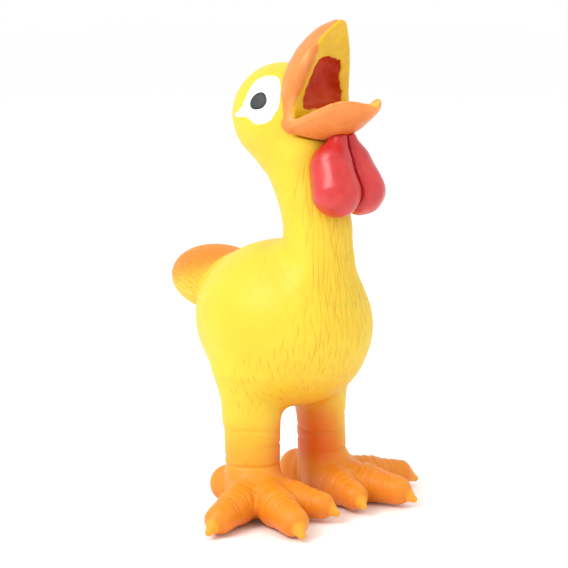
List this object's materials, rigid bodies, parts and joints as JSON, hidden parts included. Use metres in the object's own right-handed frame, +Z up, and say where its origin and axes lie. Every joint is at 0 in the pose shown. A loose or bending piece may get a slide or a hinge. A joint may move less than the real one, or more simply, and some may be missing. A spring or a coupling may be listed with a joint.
{
  "type": "squeaky rubber chicken toy",
  "caption": "Standing squeaky latex chicken with a thrown-back head, gaping beak, twin wattles, thick legs, three-toed feet and a press-in squeaker under the rump.",
  "frame": {"origin": "centre of the bounding box on the ground plane under the soles", "axes": "+Z up, -Y the way the chicken faces, +X its left side"},
  "size_m": [0.0912, 0.0842, 0.1502],
  "materials": {
    "yellow_latex": "matte satin latex",
    "orange_latex": "matte satin latex",
    "dark_red_paint": "matte paint",
    "red_latex": "glossy latex",
    "tail_latex": "matte latex",
    "leg_latex": "matte latex",
    "fibre": "loose polyester wadding",
    "white_plastic": "satin moulding",
    "reed_film": "clear film"
  },
  "bodies": {
    "torso": {"torso_skin": "yellow_latex", "fibre_filling": "fibre", "squeaker_barrel": "white_plastic", "squeaker_grille": "white_plastic", "squeaker_reed_bed": "white_plastic", "squeaker_reed_wedge": "white_plastic", "squeaker_end_cap": "white_plastic"},
    "left_flank": {"left_flank_panel": "yellow_latex"},
    "right_flank": {"right_flank_panel": "yellow_latex"},
    "neck": {"neck_skin": "yellow_latex"},
    "head": {"head_skin": "yellow_latex", "upper_beak": "orange_latex", "mouth_recess": "dark_red_paint"},
    "lower_beak": {"lower_beak": "orange_latex"},
    "left_wattle": {"left_wattle": "red_latex"},
    "right_wattle": {"right_wattle": "red_latex"},
    "tail": {"tail": "tail_latex"},
    "left_leg": {"left_leg": "leg_latex"},
    "right_leg": {"right_leg": "leg_latex"},
    "left_foot": {"left_foot": "leg_latex"},
    "right_foot": {"right_foot": "leg_latex"},
    "reed": {"squeaker_reed": "reed_film"}
  },
  "joints": [
    {"name": "left_flank_press", "type": "slide", "parent": "torso", "child": "left_flank", "axis": [-0.9703, 0, -0.2419], "range_m": [0, 0.007], "stiffness_N_per_m": 500},
    {"name": "right_flank_press", "type": "slide", "parent": "torso", "child": "right_flank", "axis": [0.9703, 0, -0.2419], "range_m": [0, 0.007], "stiffness_N_per_m": 500},
    {"name": "neck_bend", "type": "hinge", "parent": "torso", "child": "neck", "pos_m": [0, -0.01823, 0.08], "axis": [1, 0, 0], "range_deg": [-15, 20], "stiffness_Nm_per_rad": 0.6},
    {"name": "head_nod", "type": "hinge", "parent": "neck", "child": "head", "pos_m": [0, -0.01203, 0.101], "axis": [1, 0, 0], "range_deg": [-15, 0], "stiffness_Nm_per_rad": 0.4},
    {"name": "jaw_flex", "type": "hinge", "parent": "head", "child": "lower_beak", "pos_m": [0, -0.01523, 0.1192], "axis": [1, 0, 0], "range_deg": [-25, 0], "stiffness_Nm_per_rad": 0.08},
    {"name": "left_wattle_swing", "type": "hinge", "parent": "lower_beak", "child": "left_wattle", "pos_m": [0.0029, -0.03163, 0.1132], "axis": [1, 0, 0], "range_deg": [-20, 0], "stiffness_Nm_per_rad": 0.01},
    {"name": "right_wattle_swing", "type": "hinge", "parent": "lower_beak", "child": "right_wattle", "pos_m": [-0.0029, -0.03163, 0.1132], "axis": [1, 0, 0], "range_deg": [-20, 0], "stiffness_Nm_per_rad": 0.01},
    {"name": "tail_flex", "type": "hinge", "parent": "torso", "child": "tail", "pos_m": [0, 0.01877, 0.0672], "axis": [1, 0, 0], "range_deg": [-18, 18], "stiffness_Nm_per_rad": 0.1},
    {"name": "left_hip_flex", "type": "hinge", "parent": "torso", "child": "left_leg", "pos_m": [0.015, -0.00623, 0.037], "axis": [1, 0, 0], "range_deg": [-12, 12], "stiffness_Nm_per_rad": 1},
    {"name": "right_hip_flex", "type": "hinge", "parent": "torso", "child": "right_leg", "pos_m": [-0.015, -0.00623, 0.037], "axis": [1, 0, 0], "range_deg": [-12, 12], "stiffness_Nm_per_rad": 1},
    {"name": "left_ankle_flex", "type": "hinge", "parent": "left_leg", "child": "left_foot", "pos_m": [0.015, -0.00663, 0.014], "axis": [1, 0, 0], "range_deg": [-10, 10], "stiffness_Nm_per_rad": 1},
    {"name": "right_ankle_flex", "type": "hinge", "parent": "right_leg", "child": "right_foot", "pos_m": [-0.015, -0.00663, 0.014], "axis": [1, 0, 0], "range_deg": [-10, 10], "stiffness_Nm_per_rad": 1},
    {"name": "reed_flutter", "type": "hinge", "parent": "torso", "child": "reed", "pos_m": [0, 0.00622, 0.03936], "axis": [1, 0, 0], "range_deg": [-3, 3], "stiffness_Nm_per_rad": 0.00002}
  ]
}
